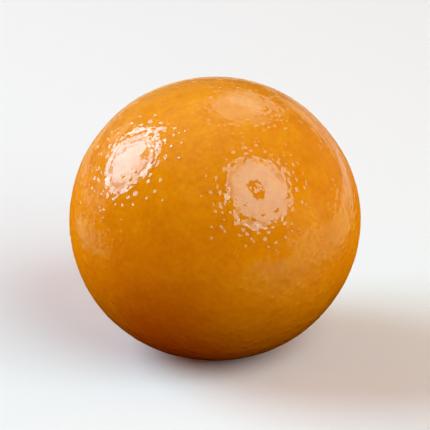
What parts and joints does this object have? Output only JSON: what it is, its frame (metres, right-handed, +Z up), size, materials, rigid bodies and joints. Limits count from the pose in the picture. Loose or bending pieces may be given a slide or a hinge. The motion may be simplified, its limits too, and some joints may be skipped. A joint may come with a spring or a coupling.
{
  "type": "urad dal ladoo",
  "caption": "Ball-shaped sweet of roasted lentil flour bound with ghee, hand-rolled smooth, glossy golden brown, resting on a small flat foot.",
  "frame": {"origin": "bottom centre of the ball's box, in the middle of its flat foot", "axes": "+Z up, -Y towards the side that the picture shows, +X to the viewer's right"},
  "size_m": [0.0444, 0.0446, 0.0421],
  "materials": {
    "dough": "smooth packed roasted-flour dough, golden brown, under a thin film of ghee"
  },
  "bodies": {
    "root": {"ladoo": "dough"}
  },
  "joints": []
}
